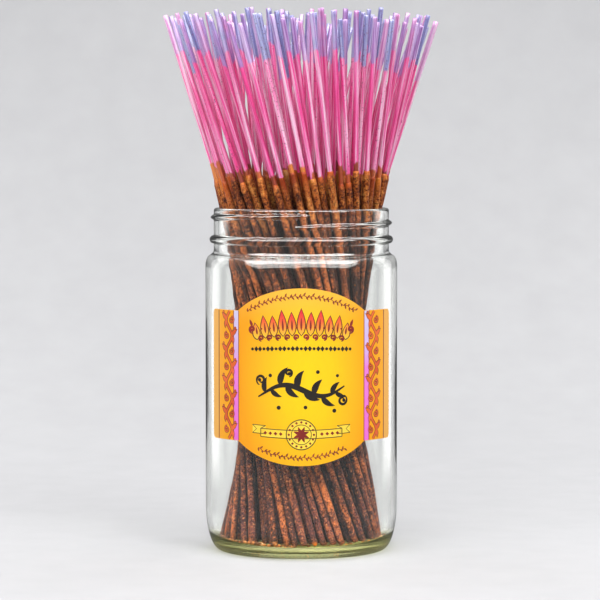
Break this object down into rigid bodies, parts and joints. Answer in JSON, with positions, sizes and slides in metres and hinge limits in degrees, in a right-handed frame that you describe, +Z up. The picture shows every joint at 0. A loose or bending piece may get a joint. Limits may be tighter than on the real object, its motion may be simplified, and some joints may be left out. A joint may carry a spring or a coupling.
{
  "type": "jar of incense sticks",
  "caption": "Clear glass screw-neck jar without its lid, with a plain printed paper label, holding a fan of coated incense sticks with dyed upper ends.",
  "frame": {"origin": "centre of the jar's foot, on the plane that it stands on", "axes": "+Z up along the jar's axis, -Y towards the front of the label"},
  "size_m": [0.1375, 0.1293, 0.2703],
  "materials": {
    "glass": "clear, smooth, pale green where it is thick",
    "label_paper": "satin, printed",
    "incense": "rough, grainy coat on bamboo, with dyed pink and lavender upper ends"
  },
  "bodies": {
    "root": {"glass_jar": "glass", "paper_label": "label_paper", "incense_sticks": "incense"}
  },
  "joints": []
}
